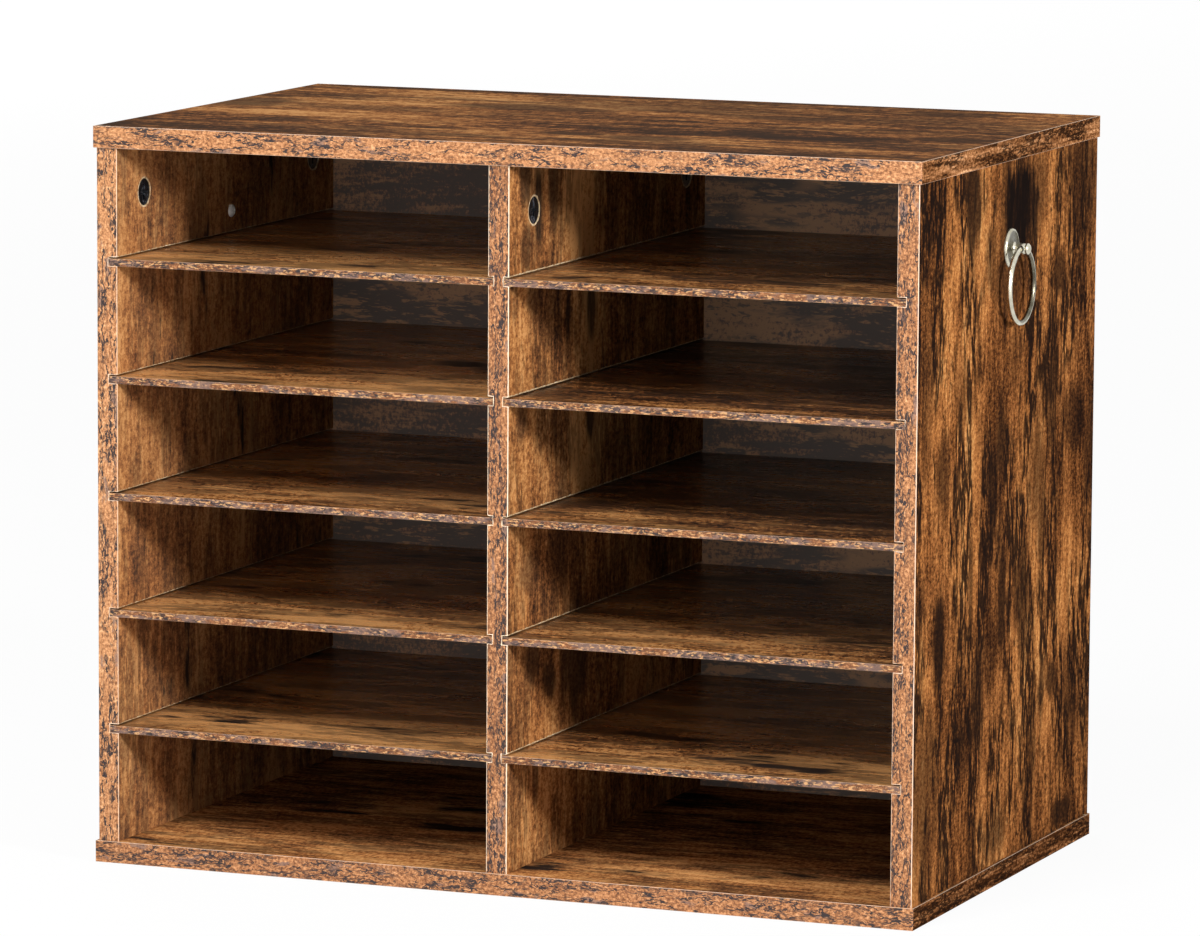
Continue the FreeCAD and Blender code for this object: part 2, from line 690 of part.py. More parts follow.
EYE_SAG = (
    "(Sizes.ring_radius - sqrt(Sizes.ring_radius ^ 2 -"
    " (Sizes.ring_wire_diameter / 2 + Sizes.eye_wall + Sizes.ring_play) ^ 2))"
)
EYE_BORE_RADIUS = f"({WIRE_RADIUS} + {EYE_SAG} + Sizes.ring_play)"
EYE_RADIUS = f"({EYE_BORE_RADIUS} + Sizes.eye_wall)"
FOOT_RADIUS = "(Sizes.post_foot_diameter / 2)"
EYE_SWELL = f"({EYE_RADIUS} - {FOOT_RADIUS})"
EYE_ARC = f"((Sizes.eye_half_length ^ 2 + {EYE_SWELL} ^ 2) / (2 * {EYE_SWELL}))"
PULL_SCREW_RADIUS = "(Sizes.pull_screw_diameter / 2)"


def pull_plate(label):
    """Domed back plate: rolled rim, small step, shallow dish and a flat boss round the post."""
    body = new_body(label)
    radius, boss = "Sizes.plate_diameter / 2", "Sizes.plate_boss_diameter / 2"
    hole = f"({FOOT_RADIUS} + Sizes.post_play)"
    rim = f"({radius} - Sizes.plate_rim_width)"
    floor = "Sizes.plate_height - Sizes.plate_step"
    profile = outline(
        body,
        "Profile",
        "XZ_Plane",
        [
            ("0", hole),
            ("0", radius),
            ("Sizes.plate_edge", radius, "-Sizes.plate_rim_radius"),
            ("Sizes.plate_height", rim),
            (floor, f"{rim} - Sizes.plate_step", "Sizes.plate_dish_radius"),
            ("Sizes.plate_height", boss),
            ("Sizes.plate_height", hole),
        ],
    )
    turn(body, profile)
    return body


def pull_post(label):
    """Turned post: foot, shoulder, cove, swelling with the ring's bore, and a button tip."""
    body = new_body(label)
    thread = f"({PULL_SCREW_RADIUS} + Sizes.thread_play)"
    foot_start = "Sizes.bore_end_clearance"
    shoulder = "Sizes.post_shoulder_diameter / 2"
    shoulder_end = "Sizes.plate_height + Sizes.post_shoulder_height"
    eye_start = "Sizes.eye_offset - Sizes.eye_half_length"
    eye_end = "Sizes.eye_offset + Sizes.eye_half_length"
    crown = f"{eye_end} + Sizes.button_length - Sizes.button_crown_height"
    tip = f"{eye_end} + Sizes.button_length"
    thread_end = "Sizes.pull_screw_reach + Sizes.bore_end_clearance"
    profile = outline(
        body,
        "Profile",
        "XZ_Plane",
        [
            (foot_start, thread),
            (foot_start, FOOT_RADIUS),
            ("Sizes.plate_height", FOOT_RADIUS),
            ("Sizes.plate_height", shoulder),
            (shoulder_end, shoulder, "Sizes.post_cove_radius"),
            (eye_start, FOOT_RADIUS, f"-{EYE_ARC}"),
            (eye_end, FOOT_RADIUS, "-Sizes.button_side_radius"),
            (crown, FOOT_RADIUS, "-Sizes.button_crown_radius"),
            (tip, "0"),
            (thread_end, "0"),
            (thread_end, thread),
        ],
    )
    turn(body, profile)
    place_of_eye = [("Sizes.eye_offset", "0")]
    bore = circles(body, "Eye", "XZ_Plane", place_of_eye, EYE_BORE_RADIUS, negative(EYE_RADIUS))
    pocket(body, bore, f"2 * {EYE_RADIUS}", True)
    return body


def pull_screw(label):
    """Pan-head machine screw with a driver's cross, its head against the panel's inner face."""
    body = new_body(label)
    seat = "-Sizes.side_thickness"
    head_edge = f"{seat} - Sizes.pull_screw_head_edge"
    head_top = f"{seat} - Sizes.pull_screw_head_height"
    head_radius = "Sizes.pull_screw_head_diameter / 2"
    rise = "(Sizes.pull_screw_head_height - Sizes.pull_screw_head_edge)"
    dome = f"((({head_radius}) ^ 2 + {rise} ^ 2) / (2 * {rise}))"
    profile = outline(
        body,
        "Profile",
        "XZ_Plane",
        [
            (head_top, "0", f"-{dome}"),
            (head_edge, head_radius),
            (seat, head_radius),
            (seat, PULL_SCREW_RADIUS),
            ("Sizes.pull_screw_reach", PULL_SCREW_RADIUS),
            ("Sizes.pull_screw_reach", "0"),
        ],
    )
    turn(body, profile)
    length, width = "Sizes.pull_screw_cross_length", "Sizes.pull_screw_cross_width"
    sketch = cross(body, "Cross", "YZ_Plane", length, width, head_top)
    pocket(body, sketch, "Sizes.pull_screw_cross_depth", True)
    return body


def ring_pull(side, hand):
    x = SIDE_OUTER if hand > 0 else negative(SIDE_OUTER)
    z = f"({TOP_UNDERSIDE} - Sizes.pull_drop)"
    for body in (
        pull_plate(f"{side}_pull_plate"),
        pull_post(f"{side}_pull_post"),
        pull_screw(f"{side}_pull_screw"),
    ):
        place(body, x, "0", z, facing(hand))
    ring = doc.addObject("Part::Torus", f"{side}_pull_ring")
    ring.Label = f"{side}_pull_ring"
    ring.setExpression("Radius1", "Sizes.ring_radius")
    ring.setExpression("Radius2", WIRE_RADIUS)
    out = f"({SIDE_OUTER} + Sizes.eye_offset)"
    ring_x = out if hand > 0 else negative(out)
    place(ring, ring_x, "0", f"{z} - Sizes.ring_radius", 90, depth_axis)
    pieces.append(ring)


ring_pull("left", -1)
ring_pull("right", 1)


# Check every object and every piece before anything is written.

doc.recompute()
for item in doc.Objects:
    if "Invalid" in item.State or "Error" in item.State:
        raise RuntimeError(f"{item.Label} did not recompute: {item.State}")
for piece in pieces:
    if piece.Shape.isNull() or not piece.Shape.isValid():
        raise RuntimeError(f"{piece.Label} has no valid shape")

os.makedirs("parts", exist_ok=True)
for piece in pieces:
    piece.Shape.exportStep(f"parts/{piece.Label}.step")
print(f"{len(pieces)} pieces written")
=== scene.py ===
import math

import bpy
import numpy as np
from mathutils import Matrix, Vector


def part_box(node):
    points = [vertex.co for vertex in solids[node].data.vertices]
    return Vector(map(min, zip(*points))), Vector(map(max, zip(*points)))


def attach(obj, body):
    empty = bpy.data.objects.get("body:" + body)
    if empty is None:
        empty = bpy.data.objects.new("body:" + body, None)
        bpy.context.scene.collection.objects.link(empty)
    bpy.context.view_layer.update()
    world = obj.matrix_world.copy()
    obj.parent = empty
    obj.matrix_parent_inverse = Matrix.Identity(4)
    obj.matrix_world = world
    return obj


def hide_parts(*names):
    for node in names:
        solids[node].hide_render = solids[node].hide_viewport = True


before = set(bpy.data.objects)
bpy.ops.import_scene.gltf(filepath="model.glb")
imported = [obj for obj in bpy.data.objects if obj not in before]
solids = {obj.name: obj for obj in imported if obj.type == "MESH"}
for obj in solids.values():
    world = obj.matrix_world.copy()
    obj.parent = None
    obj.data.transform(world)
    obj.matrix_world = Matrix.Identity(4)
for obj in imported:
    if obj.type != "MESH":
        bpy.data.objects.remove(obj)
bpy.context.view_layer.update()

mm = 0.001

# The camera stands where the photograph was taken from: far off with a long lens, a little above
# the top board and to the right of the open front, and rolled by a third of a degree.

camera_place = (1.4878, -3.6986, 0.7703)
camera_yaw, camera_pitch, camera_roll = (math.radians(angle) for angle in (21.919, -7.931, 0.341))
camera_data = bpy.data.cameras.new("camera")
camera_data.sensor_width = 36
camera_data.lens = 216.84
camera_data.clip_end = 200
camera = bpy.data.objects.new("camera", camera_data)
camera.matrix_world = (
    Matrix.Translation(camera_place)
    @ Matrix.Rotation(camera_yaw, 4, "Z")
    @ Matrix.Rotation(math.pi / 2 + camera_pitch, 4, "X")
    @ Matrix.Rotation(camera_roll, 4, "Z")
)
bpy.context.scene.collection.objects.link(camera)
bpy.context.scene.camera = camera


# Top board. Particleboard, 12 mm thick, with a rustic brown wood print on both faces and the
# grain along its length. Its slot for the back panel and its bores show the raw chips.


class Wiring:
    """Puts nodes into a tree and joins them. An input takes a plain value or another's output."""

    def __init__(self, tree):
        self.tree = tree

    def join(self, value, socket):
        self.tree.links.new(value, socket)

    def fill(self, node, sockets):
        for socket, value in sockets.items():
            if isinstance(value, bpy.types.NodeSocket):
                self.join(value, node.inputs[socket])
            else:
                node.inputs[socket].default_value = value

    def put(self, kind, sockets, out=0, **settings):
        """Adds a node of this kind with its sockets and settings, and returns one of its outputs."""
        node = self.tree.nodes.new(kind)
        for name, value in settings.items():
            setattr(node, name, value)
        self.fill(node, sockets)
        return node.outputs[out]

    def group(self, tree, sockets):
        """Places a node group with values of its own, and returns its outputs."""
        node = self.tree.nodes.new("ShaderNodeGroup")
        node.node_tree = tree
        self.fill(node, sockets)
        return node.outputs

    def math(self, operation, a, b=0.0):
        return self.put("ShaderNodeMath", {0: a, 1: b}, operation=operation)

    def vector(self, operation, a, b=(0, 0, 0), out=0):
        return self.put("ShaderNodeVectorMath", {0: a, 1: b}, out, operation=operation)

    def part(self, vector, axis):
        """The vector's length along X, Y or Z, for an axis of 0, 1 or 2."""
        return self.put("ShaderNodeSeparateXYZ", {"Vector": vector}, axis)

    def smooth(self, value, low, high):
        """0 below low, 1 above high and a smooth rise between them. It falls if low is higher."""
        sockets = {"Value": value, "From Min": low, "From Max": high}
        return self.put("ShaderNodeMapRange", sockets, interpolation_type="SMOOTHSTEP")

    def noise(self, vector, stretch, detail=3, roughness=0.55):
        """Noise with stretch[i] waves to a metre along axis i, from 0 to 1 about a half."""
        sockets = {
            "Vector": self.vector("MULTIPLY", vector, stretch),
            "Scale": 1.0,
            "Detail": detail,
            "Roughness": roughness,
        }
        return self.put("ShaderNodeTexNoise", sockets)

    def swing(self, value, amount):
        """The value's departure from a half, times an amount."""
        return self.math("MULTIPLY", self.math("SUBTRACT", value, 0.5), amount)

    def ridge(self, value):
        """The value's distance from a half: 0 along the winding lines where it crosses that."""
        return self.math("ABSOLUTE", self.math("SUBTRACT", value, 0.5))

    def add(self, *values):
        total = values[0]
        for value in values[1:]:
            total = self.math("ADD", total, value)
        return total

    def times(self, *values):
        product = values[0]
        for value in values[1:]:
            product = self.math("MULTIPLY", product, value)
        return product

    def mix(self, share, first, second):
        """The first colour where the share is 0, and the second where it is 1."""
        return self.put("ShaderNodeMix", {0: share, 6: first, 7: second}, 2, data_type="RGBA")

    def ramp(self, value, stops):
        """Colours at even steps from 0 to 1, smoothly joined."""
        node = self.tree.nodes.new("ShaderNodeValToRGB")
        node.color_ramp.interpolation = "B_SPLINE"
        elements = node.color_ramp.elements
        while len(elements) < len(stops):
            elements.new(1.0)
        for number, stop in enumerate(stops):
            elements[number].position = number / (len(stops) - 1)
            elements[number].color = stop
        self.join(value, node.inputs[0])
        return node.outputs[0]


def new_group(name, inputs, outputs):
    """A node group with its sockets, given as names with their kinds. Returns it and its wiring."""
    tree = bpy.data.node_groups.new(name, "ShaderNodeTree")
    for direction, sockets in (("INPUT", inputs), ("OUTPUT", outputs)):
        for socket, kind in sockets.items():
            tree.interface.new_socket(socket, in_out=direction, socket_type=f"NodeSocket{kind}")
    source = tree.nodes.new("NodeGroupInput").outputs
    target = tree.nodes.new("NodeGroupOutput").inputs
    return tree, Wiring(tree), source, target


def tone(red, green, blue):
    """A colour by its red, green and blue on a screen, from 0 to 255."""
    return tuple((v / 255 / 12.92) if v < 10.3 else ((v / 255 + 0.055) / 1.055) ** 2.4
                 for v in (red, green, blue)) + (1.0,)


# The print: X of the vector runs along the grain. Mottling, bands, streaks and fine fibres follow
# the bent grain. Black stains, short pores and thin cracks lie over them in patches.
print_group, w, given, result = new_group(
    "rustic wood print",
    {
        "Vector": "Vector",
        "Stain": "Float",
        "Clear": "Float",
        "Calm": "Float",
        "Cracked": "Float",
        "Contrast": "Float",
    },
    {"Color": "Color", "Dark": "Float", "Height": "Float"},
)
place = w.vector("MULTIPLY", given["Vector"], (1, 1, 4))
flow = w.swing(w.noise(place, (9, 24, 24), 2), 0.012)
bent = w.vector("ADD", place, w.put("ShaderNodeCombineXYZ", {"Y": flow}))
mottle = w.noise(place, (7, 15, 15), 3, 0.6)
bands = w.noise(bent, (4, 36, 36), 1)
streaks = w.noise(bent, (28, 150, 150), 4, 0.75)
grit = w.noise(place, (420, 320, 320), 3, 0.75)
pattern = w.add(w.swing(mottle, 1.1), w.swing(bands, 0.4), w.swing(streaks, 1.25), w.swing(grit, 1.4))
pattern = w.times(pattern, given["Contrast"])
# Clear lightens the print: in pale spots of the print, and as painted light where a whole face is made
# lighter.
grain = w.add(0.50, pattern, w.times(given["Clear"], 0.15))
wood = w.ramp(
    grain,
    [
        tone(22, 13, 9), tone(52, 29, 16), tone(90, 53, 28), tone(126, 78, 41),
        tone(158, 101, 54), tone(182, 124, 70), tone(208, 152, 94),
    ],
)
cloud = w.noise(place, (10, 26, 26), 3, 0.6)
cloud = w.add(cloud, w.swing(streaks, 0.4), w.times(given["Calm"], -0.12))
stain = w.math("MAXIMUM", w.smooth(cloud, 0.54, 0.68), given["Stain"])
stain = w.times(stain, w.add(w.swing(streaks, 0.7), 1.0))
pitted = w.smooth(w.noise(place, (9, 40, 40), 2), 0.44, 0.58)
pores = w.smooth(w.noise(bent, (130, 360, 360), 2, 0.7), 0.54, 0.62)
pores = w.times(pores, pitted, 0.7, given["Cracked"])
weathered = w.smooth(w.noise(place, (12, 44, 44), 2), 0.43, 0.54)
cracks = w.smooth(w.ridge(w.noise(bent, (22, 115, 115), 4, 0.75)), 0.10, 0.035)
cracks = w.times(cracks, weathered, 0.9, given["Cracked"])
dark = w.math("MAXIMUM", stain, w.math("MAXIMUM", pores, cracks))
w.join(w.mix(dark, wood, tone(22, 16, 14)), result["Color"])
w.join(dark, result["Dark"])
w.join(grit, result["Height"])

# Raw particleboard: pale chips of many tones, pressed flat.
chip_group, w, given, result = new_group(
    "raw particleboard", {"Vector": "Vector"}, {"Color": "Color", "Height": "Float"}
)
warp = w.put("ShaderNodeTexNoise", {"Vector": given["Vector"], "Scale": 400.0}, 1)
warp = w.vector("MULTIPLY", warp, (0.004, 0.004, 0.004))
cells = {"Vector": w.vector("ADD", given["Vector"], warp), "Scale": 620.0}
chips = w.put("ShaderNodeTexVoronoi", cells, 1)
chip = w.put("ShaderNodeSeparateColor", {"Color": chips}, 0)
dust = w.noise(given["Vector"], (900, 900, 900), 3)
pale = w.ramp(w.add(w.times(chip, 0.6), w.swing(dust, 0.8), 0.2),
              [tone(128, 100, 70), tone(178, 150, 112), tone(214, 190, 152), tone(232, 214, 184)])
w.join(pale, result["Color"])
w.join(w.add(chip, w.swing(dust, 1.0)), result["Height"])

# A spot: 1 inside an ellipse with ragged soft edges, 0 outside it.
spot_group, w, given, result = new_group(
    "spot",
    {"Vector": "Vector", "Centre": "Vector", "Size": "Vector", "Ragged": "Float"},
    {"Mask": "Float"},
)
offset = w.vector("SUBTRACT", given["Vector"], given["Centre"])
reach = w.vector("LENGTH", w.vector("DIVIDE", offset, given["Size"]), out=1)
w.join(w.smooth(w.add(reach, given["Ragged"]), 1.5, 0.6), result["Mask"])


def spots(w, coords, ragged, rows, corner, right, down):
    """
    The strongest spot at each point of a face. A row is the spot's place to the right of and below
    the face's corner, its half width and half height in millimetres, and its strength. A spot
    reaches only a few millimetres into the board, so that it doesn't show on the other face.
    """
    corner, right, down = Vector(corner), Vector(right), Vector(down)
    through = right.cross(down)
    depth = 5
    strongest = None
    for across, below, half_width, half_height, strength in rows:
        centre = corner + (right * across + down * below) * mm
        size = [
            mm * (abs(r) * half_width + abs(d) * half_height + abs(t) * depth)
            for r, d, t in zip(right, down, through)
        ]
        sockets = {"Vector": coords, "Centre": centre, "Size": size, "Ragged": ragged}
        mask = w.times(w.group(spot_group, sockets)["Mask"], strength)
        strongest = mask if strongest is None else w.math("MAXIMUM", strongest, mask)
    return strongest


def new_material(name):
    """A material, the wiring of its tree, its shader and the place on the object in metres."""
    material = bpy.data.materials.new(name)
    material.use_nodes = True
    w = Wiring(material.node_tree)
    coords = w.put("ShaderNodeTexCoord", {}, "Object")
    return material, w, material.node_tree.nodes["Principled BSDF"], coords


def bump(w, height, depth, shader):
    """Raise the surface by the height, with depth as the real distance between 0 and 1."""
    normal = w.put("ShaderNodeBump", {"Height": height, "Distance": depth, "Strength": 1.0})
    w.join(normal, shader.inputs["Normal"])


def turned(w, coords, turn, shift, along=1.0, across=1.0):
    """
    The grain's own frame: X along the grain, and Y and Z across it. Factors below 1 draw the
    pattern out along or across the grain.
    """
    place = w.put("ShaderNodeMapping", {"Vector": coords, "Rotation": turn, "Location": shift})
    return w.vector("MULTIPLY", place, (along, across, across))


def paint(material, *nodes):
    """Gives these CAD pieces the material in place of what they had."""
    for node in nodes:
        solids[node].data.materials.clear()
        solids[node].data.materials.append(material)


grain_along_x = (0, 0, 0)
grain_along_z = (0, math.pi / 2, 0)
print_depth = 0.08 * mm


def printed_board(name, node, turn, shift, axis, dark=None, clear=None, face=None, chips=None, painted_light=0.0,
                  painted_sheen=0.0, sheen=0.0, rough=0.5, cracked=1.0, along=1.0, across=1.0, calm=0.0,
                  contrast=1.0):
    """
    Paints a board: printed faces at both of its ends along axis (0, 1 or 2 for X, Y or Z) and raw
    chips between them. dark and clear are the rows of its black spots and its pale ones, on the
    face given as (corner, right, down); on the divider some pale ones are painted light. chips adds
    places where the print is chipped off. painted_light makes the whole print lighter as painted
    light, and below 0 darker as painted shade, so that boards of one print stand lit and shaded.
    painted_sheen mixes it towards grey as a painted sheen, and contrast sets its dark and pale tones
    apart. cracked is the strength of its pores and cracks, and calm the lack of its chance stains.
    Each of painted_light, cracked and calm may be a pair, for the face on the low side of the axis and
    the one on the high side. rough is the roughness of the print, and sheen how strongly it mirrors.
    """
    material, w, shader, coords = new_material(name)
    low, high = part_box(node)
    grain = turned(w, coords, turn, shift, along, across)
    ragged = w.swing(w.noise(grain, (13, 130, 130), 3, 0.7), 1.7)
    ragged = w.add(ragged, w.swing(w.noise(grain, (40, 60, 60), 2), 1.1))
    depth = w.part(coords, axis)
    upper = w.math("GREATER_THAN", depth, (low[axis] + high[axis]) / 2)

    def sided(value):
        if not isinstance(value, tuple):
            return value
        return w.add(w.times(upper, value[1] - value[0]), value[0])

    # The whole face is made lighter as painted light, and darker below 0 as painted shade.
    painted_light = sided(painted_light)
    sockets = {
        "Vector": grain,
        "Stain": 0.0,
        "Clear": painted_light,
        "Calm": 1.0 if face else sided(calm),
        "Cracked": sided(cracked),
        "Contrast": contrast,
    }
    if face:
        sockets["Stain"] = spots(w, coords, ragged, dark, *face)
        sockets["Clear"] = w.add(spots(w, coords, ragged, clear, *face), painted_light)
    wood = w.group(print_group, sockets)
    # Painted sheen: the print is mixed towards a pale grey.
    wood_colour = w.mix(painted_sheen, wood["Color"], tone(140, 116, 100))
    raw = w.group(chip_group, {"Vector": coords})
    inside = w.times(
        w.math("GREATER_THAN", depth, low[axis] + print_depth),
        w.math("LESS_THAN", depth, high[axis] - print_depth),
    )
    if chips:
        inside = w.math("MAXIMUM", inside, chips(w, coords))
    w.join(w.mix(inside, wood_colour, raw["Color"]), shader.inputs["Base Color"])
    rough = w.add(rough, w.times(wood["Dark"], 0.1), w.times(inside, 0.4))
    w.join(rough, shader.inputs["Roughness"])
    shader.inputs["Specular IOR Level"].default_value = sheen
    bump(w, wood["Height"], 0.03 * mm, shader)
    paint(material, node)


top_low, top_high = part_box("top_panel")
top_spots = [
    (15, 120, 24, 30, 0.75), (100, 132, 52, 14, 0.5), (170, 95, 46, 18, 0.75), (262, 60, 70, 22, 0.55),
    (332, 95, 40, 15, 0.75), (405, 30, 26, 18, 0.75), (398, 72, 40, 20, 0.5), (276, 135, 18, 4, 0.9),
    (252, 228, 17, 9, 0.85), (302, 240, 24, 15, 0.75), (300, 208, 28, 6, 0.85), (345, 188, 14, 11, 0.85),
    (376, 203, 34, 7, 1.0), (432, 215, 18, 3, 0.85), (456, 176, 22, 13, 0.85), (75, 216, 18, 12, 0.75),
    (165, 158, 22, 9, 0.45), (5, 280, 8, 20, 0.9), (110, 272, 42, 9, 0.5), (200, 262, 32, 8, 0.65),
    (346, 282, 7, 9, 0.65), (275, 12, 24, 8, 0.7), (40, 8, 32, 6, 0.7), (470, 120, 10, 26, 0.5),
]
top_clearings = [
    (85, 60, 62, 28, 0.9), (60, 190, 52, 18, 0.9), (125, 205, 40, 8, 0.9), (420, 155, 42, 18, 1.0),
    (462, 216, 18, 16, 1.0), (442, 272, 44, 20, 1.0), (232, 142, 62, 12, 0.8),
]
# Greyed as a painted sheen and made a little darker as painted shade.
printed_board(
    "top board",
    "top_panel",
    grain_along_x,
    (0.31, 0.12, 0.02),
    2,
    top_spots,
    top_clearings,
    ((top_low.x, top_high.y, top_high.z), (1, 0, 0), (0, -1, 0)),
    painted_sheen=0.16,
    painted_light=-0.2,
    cracked=0.8,
    along=0.5,
    across=0.6,
    contrast=1.35,
)


# Edge bands of the top and the bottom board. Thin plastic strips glued to the core, printed in
# orange brown with a dark crackle, and trimmed flush: a thin pale line along their edges is the
# trimmed edge, brightened as a painted highlight.

crackle_group, w, given, result = new_group(
    "edge band crackle",
    {"Vector": "Vector", "Painted shade": "Float", "Grey": "Float"},
    {"Color": "Color", "Dark": "Float", "Height": "Float"},
)
place = given["Vector"]
swirl = w.put("ShaderNodeTexNoise", {"Vector": place, "Scale": 260.0, "Detail": 2.0}, 1)
warped = w.vector("ADD", place, w.vector("MULTIPLY", swirl, (0.005, 0.003, 0.003)))
base = w.noise(place, (60, 200, 200), 2, 0.6)
small = w.noise(place, (500, 700, 700), 2, 0.7)
# Painted shade darkens the whole print of a band, so that bands of one print stand lit and shaded.
wood = w.ramp(
    w.add(0.5, w.swing(base, 0.5), w.swing(small, 2.1), w.times(given["Painted shade"], -0.5)),
    [tone(96, 58, 34), tone(142, 92, 58), tone(184, 128, 84), tone(204, 148, 102), tone(238, 194, 146)],
)
clusters = w.smooth(w.noise(place, (50, 150, 150), 2, 0.6), 0.43, 0.58)
worms = w.ridge(w.noise(warped, (74, 310, 310), 1, 0.6))
worms = w.times(w.smooth(worms, 0.040, 0.014), clusters)
long = w.ridge(w.noise(warped, (30, 190, 190), 3, 0.65))
split = w.smooth(w.noise(place, (16, 60, 60), 2), 0.40, 0.48)
long = w.times(w.smooth(long, 0.032, 0.010), split)
specks = w.times(w.smooth(w.noise(place, (260, 620, 620), 1), 0.57, 0.62), clusters)
greyed = w.add(w.noise(warped, (60, 200, 200), 2), w.times(given["Grey"], 0.2))
greyed = w.times(w.smooth(greyed, 0.61, 0.69), 0.65)
flecks = w.smooth(w.noise(place, (360, 1100, 1100), 2, 0.6), 0.56, 0.62)
flecks = w.times(flecks, given["Grey"], 1.1)
dark = w.math("MAXIMUM", w.math("MAXIMUM", worms, long), w.times(specks, 0.7))
wood = w.mix(greyed, wood, tone(108, 92, 88))
wood = w.mix(flecks, w.mix(dark, wood, tone(48, 40, 40)), tone(210, 160, 108))
w.join(wood, result["Color"])
w.join(dark, result["Dark"])
w.join(small, result["Height"])

# A trimmed edge and painted highlight: 1 within a width of a box's faces, measured along the axes that
# count.
trim_and_highlight_group, w, given, result = new_group(
    "trimmed edge and highlight",
    {"Vector": "Vector", "Centre": "Vector", "Half": "Vector", "Width": "Float"},
    {"Mask": "Float"},
)
offset = w.vector("ABSOLUTE", w.vector("SUBTRACT", given["Vector"], given["Centre"]))
left = w.vector("SUBTRACT", given["Half"], offset)
parts = [w.part(left, axis) for axis in range(3)]
nearest = w.math("MINIMUM", parts[0], w.math("MINIMUM", parts[1], parts[2]))
worn = w.swing(w.noise(given["Vector"], (420, 420, 420), 3, 0.6), 1.6)
width = w.times(given["Width"], w.add(worn, 1.0))
w.join(w.math("LESS_THAN", nearest, width), result["Mask"])
far_off = 1.0  # half a width for an axis that doesn't count


def edge_band(node, turn, shift, pale_axes, pale_width, painted_shade=0.0, pale=tone(226, 196, 170),
              mouths=None, grey=0.0):
    """
    Paints a printed strip. Its pale trimmed line runs along its ends on the axes in pale_axes, and
    is also a painted highlight. painted_shade makes the print darker as painted shade, and grey adds
    grey patches and pale flecks. mouths adds the places where the raw board shows round the grooves.
    """
    material, w, shader, coords = new_material(node)
    low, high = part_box(node)
    centre, half = (low + high) / 2, (high - low) / 2
    half = [half[axis] if axis in pale_axes else far_off for axis in range(3)]
    sockets = {"Vector": turned(w, coords, turn, shift), "Painted shade": painted_shade, "Grey": grey}
    crackle = w.group(crackle_group, sockets)
    sockets = {"Vector": coords, "Centre": centre, "Half": half, "Width": pale_width}
    # The pale trimmed line, brightened as a painted highlight.
    line = w.times(w.group(trim_and_highlight_group, sockets)["Mask"], 0.85)
    if mouths is not None:
        line = w.math("MAXIMUM", line, mouths(w, coords))
    w.join(w.mix(line, crackle["Color"], pale), shader.inputs["Base Color"])
    rough = w.add(w.times(crackle["Dark"], 0.15), 0.45)
    w.join(rough, shader.inputs["Roughness"])
    shader.inputs["Specular IOR Level"].default_value = 0.25
    bump(w, crackle["Height"], 0.04 * mm, shader)
    paint(material, node)


grain_along_y = (0, 0, math.pi / 2)


def streaked_band(node, shift, pale_width, level):
    """Paints the strip on a board's end: golden and dark streaks and the pale trimmed lines, also
    painted highlights. A lower level darkens it as painted shade.
    """
    material, w, shader, coords = new_material(node)
    low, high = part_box(node)
    place = turned(w, coords, grain_along_y, shift)
    long, short = w.noise(place, (16, 300, 300), 3, 0.65), w.noise(place, (320, 700, 700), 2, 0.6)
    wood = w.ramp(
        w.add(level, w.swing(long, 1.8), w.swing(short, 1.5)),
        [tone(44, 24, 12), tone(96, 58, 32), tone(146, 98, 60), tone(188, 134, 92), tone(228, 182, 138)],
    )
    patches = w.smooth(w.noise(place, (30, 160, 160), 2), 0.42, 0.54)
    cracks = w.smooth(w.ridge(w.noise(place, (90, 420, 420), 3, 0.65)), 0.11, 0.03)
    cracks = w.times(cracks, patches, 0.9)
    wood = w.mix(cracks, wood, tone(30, 18, 12))
    half = [far_off, far_off, (high.z - low.z) / 2]
    sockets = {"Vector": coords, "Centre": (low + high) / 2, "Half": half, "Width": pale_width}
    line = w.times(w.group(trim_and_highlight_group, sockets)["Mask"], 0.6)
    w.join(w.mix(line, wood, tone(216, 186, 160)), shader.inputs["Base Color"])
    w.join(w.add(w.times(cracks, 0.15), 0.5), shader.inputs["Roughness"])
    shader.inputs["Specular IOR Level"].default_value = 0.0
    bump(w, short, 0.04 * mm, shader)
    paint(material, node)


# The bottom board's bands are made darker than the top board's, as painted shade.
for board, seed, painted_shade, level in (("top_panel", 0.0, 0.16, 0.38), ("bottom_panel", 1.7, 0.3, 0.2)):
    for number, side in enumerate(("front", "rear")):
        node = f"{board}_{side}_band"
        edge_band(node, grain_along_x, (seed + number, 0.4, 0.1), (2,), 0.15 * mm, painted_shade)
    for number, side in enumerate(("left", "right")):
        node = f"{board}_{side}_band"
        streaked_band(node, (seed + number, 0.7, 0.3), 0.2 * mm, level)


# Bottom board. The same printed particleboard as the top one, lying flat on the surface below,
# with countersunk screw holes in its underside.

# Made lighter as painted light and greyed a little as a painted sheen.
printed_board(
    "bottom board",
    "bottom_panel",
    grain_along_x,
    (1.37, 0.62, 0.33),
    2,
    painted_light=1.4,
    painted_sheen=0.06,
    cracked=0.7,
    contrast=1.3,
)


# Side panels. Upright printed particleboard with the grain upwards. Five grooves for the shelves
# run right through from front to rear, and round each the cut print shows a thin raw line.

grooves = 5
groove_height = 5 * mm
board_lip, band_lip = 0.3 * mm, 0.24 * mm
lowest_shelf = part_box("left_shelf_5")[0].z
groove_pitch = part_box("left_shelf_4")[0].z - lowest_shelf
lowest_groove = lowest_shelf + groove_height / 2

